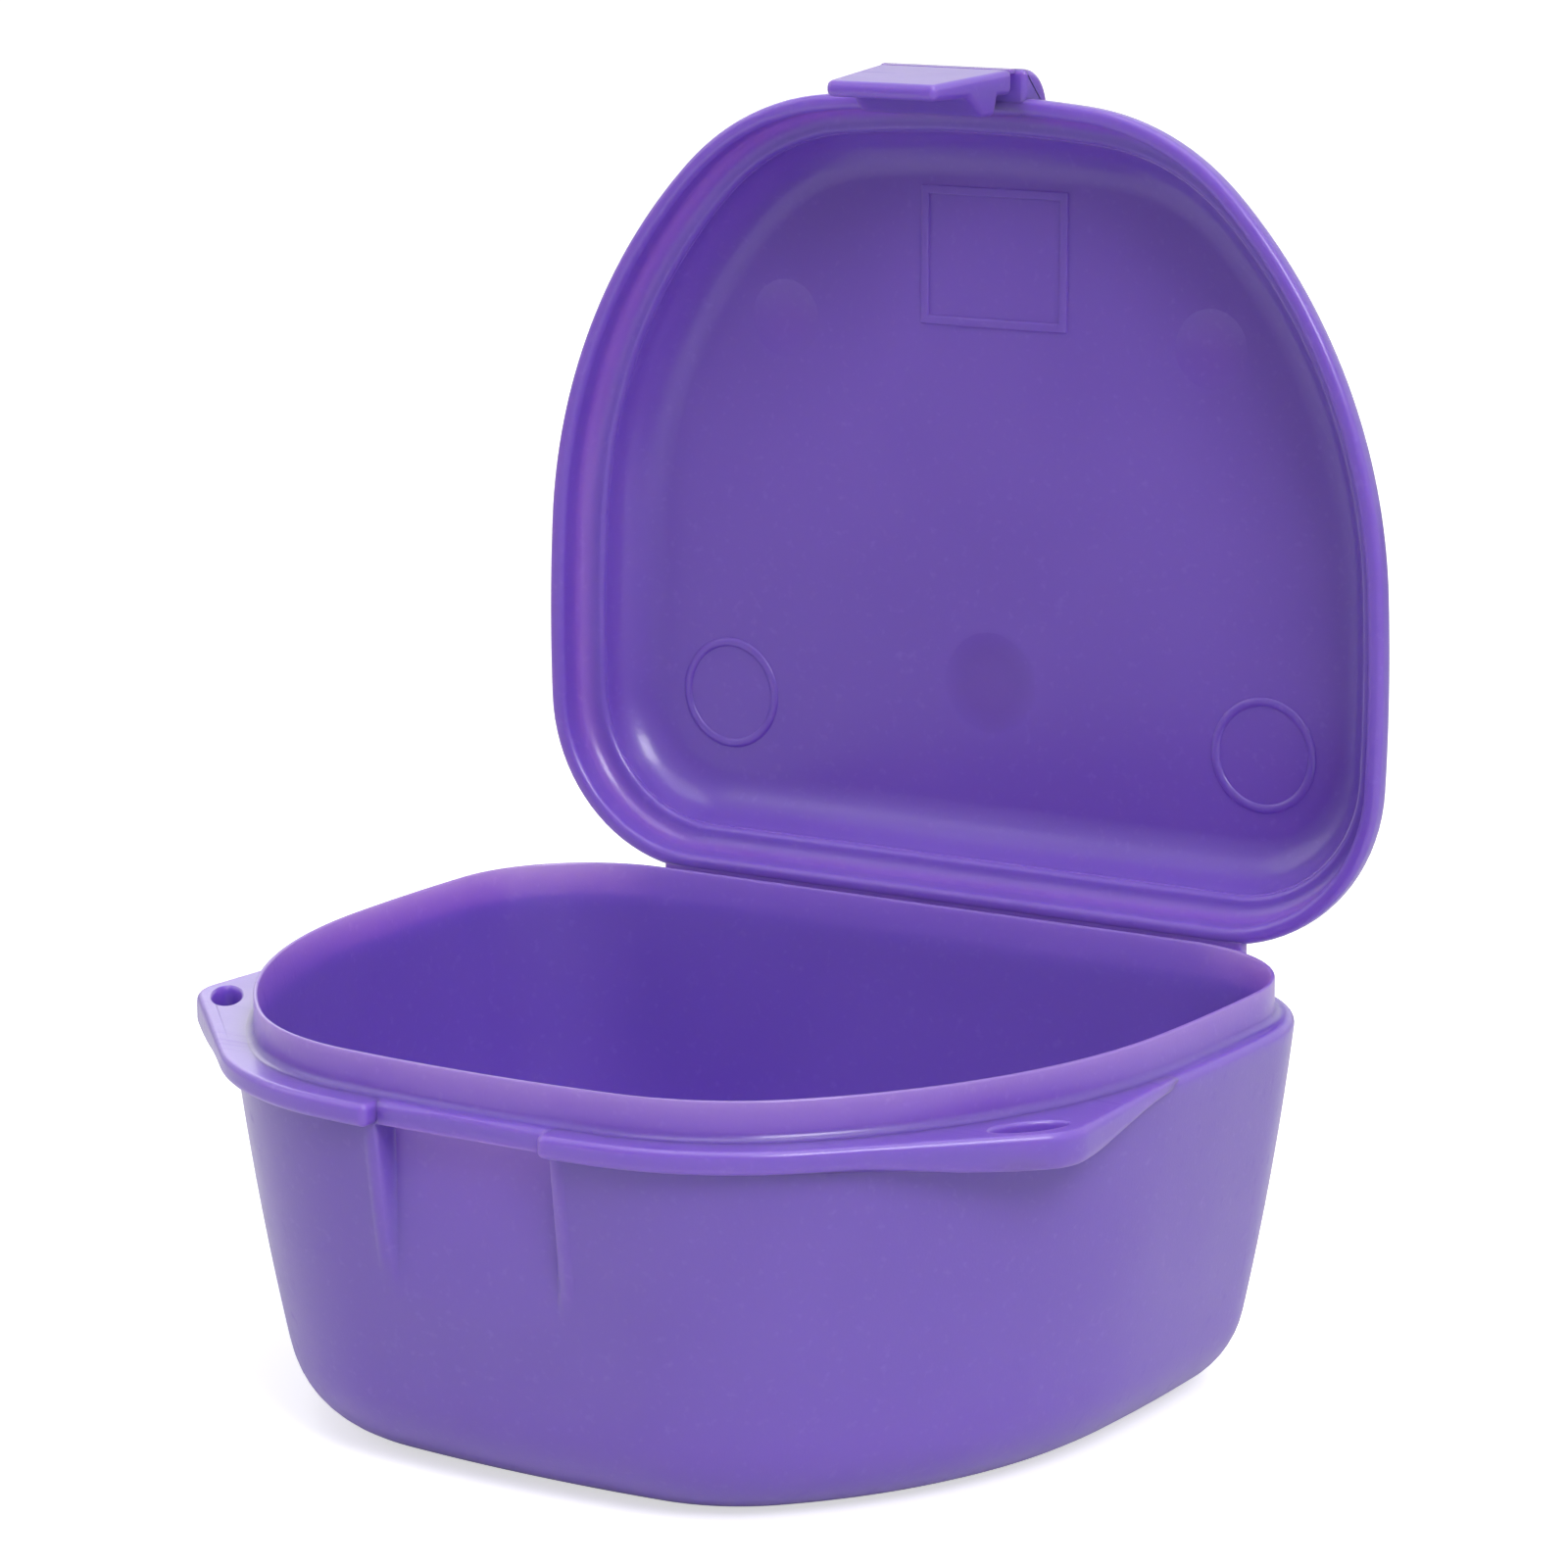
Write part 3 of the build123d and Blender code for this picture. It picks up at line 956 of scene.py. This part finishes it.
sunk = hingeForm["sunk"]  # keeps the leaf's face out of the plane of the rim
leafBase = makeLeaf("hingeLeafBase", tub["height"] - hingeForm["leafHeight"], tub["height"] - sunk)
leafLid = makeLeaf("hingeLeafLid", lidRimZ + sunk, lidRimZ + hingeForm["leafHeight"])
openUp(leafLid)
for piece, node, body in ((leafBase, "hinge_leaf_base", "base"), (leafLid, "hinge_leaf_lid", "lid")):
    finishPiece(piece, plastic)
    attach(piece, body)
    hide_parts(node)


def makeHingeFilm():
    # a strip out of the base's leaf, swept up in an arc to the lid's leaf
    half = hingeForm["halfWidth"] - hingeForm["filmInset"]
    thick = hingeForm["filmThickness"]
    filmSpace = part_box("hinge_film")
    startY = filmSpace[0].y / mm
    endY = filmSpace[1].y / mm - thick / 2
    rise = filmSpace[1].z / mm - filmSpace[0].z / mm - thick / 2
    radius = ((endY - startY) ** 2 + rise**2) / (2 * rise)
    low = filmSpace[0].z / mm
    piece = startBlock(
        "hingeFilm",
        (-half, startY - hingeForm["filmOverlap"], low),
        (half, startY, low + thick),
    )
    pick(piece, "FACE", lambda f: f.normal.y > meshing["facing"])
    turn = atan2(endY - startY, radius - rise)
    bpy.ops.mesh.spin(
        steps=hingeForm["filmSteps"], angle=-turn,
        center=(0, startY, low + thick / 2 + radius), axis=(1, 0, 0),
    )
    bpy.ops.mesh.extrude_region_move(TRANSFORM_OT_translate={"value": (0, 0, hingeForm["filmOverlap"])})
    bpy.ops.mesh.select_all(action="SELECT")
    bpy.ops.mesh.remove_doubles(threshold=meshing["sweepWeld"])
    bpy.ops.mesh.normals_make_consistent(inside=False)
    objectMode()
    return piece, startY, endY, low + thick / 2, low + thick / 2 + rise


hingeFilm, filmStartY, filmEndY, filmLowZ, filmHighZ = makeHingeFilm()
finishPiece(hingeFilm, film)
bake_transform(hingeFilm)
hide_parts("hinge_film")

# Latch
latch = {
    "mountHalf": 7.0,
    "mountHeight": 3.8,
    "mountReach": 2.19,
    "mountRadius": 3.4,
    "mountRadiusSteps": 12,
    "mountRounding": 0.5,
    "mountEmbedded": 1.6,
    "mountSunk": 0.02,
    "rootHalf": 6.3,
    "tipHalf": 5.05,
    "length": 10.2,
    "rootThickness": 2.0,
    "tipThickness": 1.3,
    "rounding": 0.5,
    "filmLength": 0.75,
    "filmThickness": 0.35,
    "filmHalf": 6.0,
    "filmOverlap": 0.12,
    "filmCuts": 7,
    "edgeSteps": 4,
    "hookCatch": 0.85,  # how far it reaches in past the strip's face
    "hookGap": 0.45,
    "hookHeight": 1.8,
    "hookRamp": 2.0,
    "hookBackSlope": 0.4,
}
mountFront = frontY - latch["mountReach"]


def makeLatchMount():
    high = lidRimZ + latch["mountHeight"]
    piece = startBlock(
        "latchMount",
        (-latch["mountHalf"], mountFront, lidRimZ + latch["mountSunk"]),
        (latch["mountHalf"], frontY + latch["mountEmbedded"], high),
    )
    near = meshing["near"]
    pick(piece, "EDGE", lambda a, b: min(a.z, b.z) > high - near and max(a.y, b.y) < mountFront + near)
    roundEdges(latch["mountRadius"], latch["mountRadiusSteps"])
    sharpEdges(piece, latch["mountRounding"], latch["edgeSteps"])
    objectMode()
    return piece


def makeLatchFlap():
    # its side view, drawn from the film down the outside and back up past the hook
    inner = mountFront + latch["rootThickness"]
    top = -latch["filmLength"]
    bottom = top - latch["length"]
    hookTip = recess["bandY"] + latch["hookCatch"]
    hookTop = tub["height"] - recess["bandHeight"] - latch["hookGap"] - lidRimZ
    points = [
        (mountFront, top),
        (inner - latch["tipThickness"], bottom),
        (inner, bottom),
        (inner, hookTop - latch["hookHeight"] - latch["hookRamp"]),
        (hookTip, hookTop - latch["hookHeight"]),
        (hookTip, hookTop - latch["hookBackSlope"]),
        (inner, hookTop),
        (inner, top),
    ]
    half = latch["rootHalf"]
    piece = startPoint("latchFlap", -half, points[0][0], lidRimZ + points[0][1])
    for (y, z), (nextY, nextZ) in zip(points, points[1:]):
        lineTo(0, nextY - y, nextZ - z)
    bpy.ops.mesh.select_all(action="SELECT")
    bpy.ops.mesh.edge_face_add()
    bpy.ops.mesh.extrude_region_move(TRANSFORM_OT_translate={"value": (2 * half, 0, 0)})
    bpy.ops.mesh.select_all(action="SELECT")
    bpy.ops.mesh.normals_make_consistent(inside=False)
    # narrower towards the tip
    objectMode()
    heights = sorted({round(v.co.z, 3) for v in piece.data.vertices})
    for z in heights:
        share = (lidRimZ + top - z) / latch["length"]
        width = 1 + (latch["tipHalf"] / half - 1) * share
        pick(piece, "VERT", lambda v: abs(v.z - z) < meshing["near"])
        bpy.ops.transform.resize(value=(width, 1, 1), center_override=(0, 0, 0))
    sharpEdges(piece, latch["rounding"], latch["edgeSteps"])
    objectMode()
    return piece


latchMount = makeLatchMount()
latchFlap = makeLatchFlap()
for piece, node, body in ((latchMount, "latch_mount", "lid"), (latchFlap, "latch_flap", "latch")):
    openUp(piece)
    finishPiece(piece, plastic)
    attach(piece, body)
    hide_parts(node)


def makeLatchFilm():
    low = lidRimZ - latch["filmLength"] - latch["filmOverlap"]
    high = lidRimZ + latch["filmOverlap"]
    piece = startBlock(
        "latchFilm",
        (-latch["filmHalf"], mountFront, low),
        (latch["filmHalf"], mountFront + latch["filmThickness"], high),
    )
    pick(piece, "EDGE", lambda a, b: abs(a.z - b.z) > meshing["near"])
    bpy.ops.mesh.subdivide(number_cuts=latch["filmCuts"])
    objectMode()
    return piece


latchFilm = makeLatchFilm()
openUp(latchFilm)
finishPiece(latchFilm, film)
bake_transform(latchFilm)
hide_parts("latch_film")

# Floor, light and camera
stageLook = {
    "floorSize": 12.0,
    "floorColour": (0.78, 0.78, 0.78, 1),
    "floorFarColour": (0.3, 0.3, 0.3, 1),
    "floorLitTo": 0.18,  # metres from the case
    "floorFarFrom": 0.6,
    "floorGlow": 0.62,
    "floorFarGlow": 1.0,
    "floorMirrored": 0.1,
    # the direction's Y, from in front to behind, and the strength at each end
    "skyRange": (-0.6, 0.8, 0.22, 0.55),
    "mirroredRange": (-0.6, 0.2, 0.34, 1.0),
    "seenStrength": 1.0,
    "lampTarget": (0, 0, 0.045),
}


def byRay(tree, lit, mirrored, seen):
    # the strength that lights the case, the one it mirrors and the one the camera sees
    rays = addNode(tree, "ShaderNodeLightPath")
    strength = lit
    for kind, value in (
        ("Is Glossy Ray", mirrored),
        ("Is Transmission Ray", mirrored),
        ("Is Camera Ray", seen),
    ):
        mix = addNode(tree, "ShaderNodeMix", data_type="FLOAT")
        tree.links.new(rays.outputs[kind], mix.inputs[0])
        for socket, source in ((mix.inputs[2], strength), (mix.inputs[3], value)):
            if isinstance(source, float):
                socket.default_value = source
            else:
                tree.links.new(source, socket)
        strength = mix.outputs[0]
    return strength


def makeFloor():
    bpy.ops.object.select_all(action="DESELECT")
    bpy.ops.mesh.primitive_plane_add(size=stageLook["floorSize"])
    floor = bpy.context.object
    floor.name = "floor"
    material = bpy.data.materials.new("paleFloor")
    material.use_nodes = True
    tree = material.node_tree
    tree.nodes.clear()
    # the light falls on the table round the case, and the room beyond is dimmer
    spread = addNode(tree, "ShaderNodeVectorMath", operation="LENGTH")
    tree.links.new(addNode(tree, "ShaderNodeTexCoord").outputs["Object"], spread.inputs[0])
    far = rangeOf(tree, spread.outputs["Value"], stageLook["floorLitTo"], stageLook["floorFarFrom"])
    matt = addNode(tree, "ShaderNodeBsdfDiffuse")
    colour = mixColours(tree, far, stageLook["floorColour"], stageLook["floorFarColour"])
    tree.links.new(colour, matt.inputs["Color"])
    glow = addNode(tree, "ShaderNodeEmission")
    seen = rangeOf(tree, far, 0, 1, stageLook["floorGlow"], stageLook["floorFarGlow"])
    strength = byRay(tree, 0.0, stageLook["floorMirrored"], seen)
    tree.links.new(strength, glow.inputs["Strength"])
    both = addNode(tree, "ShaderNodeAddShader")
    tree.links.new(matt.outputs[0], both.inputs[0])
    tree.links.new(glow.outputs[0], both.inputs[1])
    out = addNode(tree, "ShaderNodeOutputMaterial")
    tree.links.new(both.outputs[0], out.inputs[0])
    floor.data.materials.append(material)


def makeSky():
    world = bpy.data.worlds.new("studioWhite")
    bpy.context.scene.world = world
    world.use_nodes = True
    tree = world.node_tree
    back = tree.nodes["Background"]
    back.inputs["Color"].default_value = (1, 1, 1, 1)
    # the white backdrop lights the case from behind more than the room does from in front
    direction = addNode(tree, "ShaderNodeSeparateXYZ")
    tree.links.new(addNode(tree, "ShaderNodeTexCoord").outputs["Generated"], direction.inputs[0])
    ahead = direction.outputs["Y"]
    lit = rangeOf(tree, ahead, *stageLook["skyRange"])
    mirrored = rangeOf(tree, ahead, *stageLook["mirroredRange"])
    strength = byRay(tree, lit, mirrored, stageLook["seenStrength"])
    tree.links.new(strength, back.inputs["Strength"])


lamps = [
    # name, azimuth and elevation in degrees, distance, size, watts
    ("keyLamp", 58, 40, 0.9, 0.36, 4.5),
    ("topLamp", 20, 80, 1.0, 0.9, 4.3),
    ("leftLamp", -60, 30, 1.1, 0.7, 2.0),
    ("backLamp", 230, 25, 1.1, 0.5, 1.1),
]


def makeLamp(name, azimuth, elevation, distance, size, watts):
    light = bpy.data.lights.new(name, "AREA")
    light.shape = "SQUARE"
    light.size = size
    light.energy = watts
    lamp = bpy.data.objects.new(name, light)
    bpy.context.scene.collection.objects.link(lamp)
    turn = Matrix.Rotation(radians(azimuth), 4, "Z") @ Matrix.Rotation(radians(90 - elevation), 4, "X")
    aim = Matrix.Translation(stageLook["lampTarget"])
    lamp.matrix_world = aim @ turn @ Matrix.Translation((0, 0, distance))


cameraView = {
    "place": (0.22599, -0.34243, 0.13658),
    "azimuth": 32.59,  # degrees
    "elevation": 12.0,
    "roll": -0.24,
    "lens": 124.44,  # millimetres, as the sensor's width
    "sensor": 36,
    "nearest": 0.01,  # metres
    "farthest": 50,
}


def makeCamera():
    data = bpy.data.cameras.new("photoCamera")
    data.lens = cameraView["lens"]
    data.sensor_width = cameraView["sensor"]
    data.clip_start = cameraView["nearest"]
    data.clip_end = cameraView["farthest"]
    camera = bpy.data.objects.new("photoCamera", data)
    bpy.context.scene.collection.objects.link(camera)
    camera.matrix_world = (
        Matrix.Translation(cameraView["place"])
        @ Matrix.Rotation(radians(cameraView["azimuth"]), 4, "Z")
        @ Matrix.Rotation(radians(90 - cameraView["elevation"]), 4, "X")
        @ Matrix.Rotation(radians(cameraView["roll"]), 4, "Z")
    )
    bpy.context.scene.camera = camera


makeFloor()
makeSky()
for row in lamps:
    makeLamp(*row)
makeCamera()
bpy.context.scene.view_settings.view_transform = "Standard"
print("stage, lamps and camera ready")
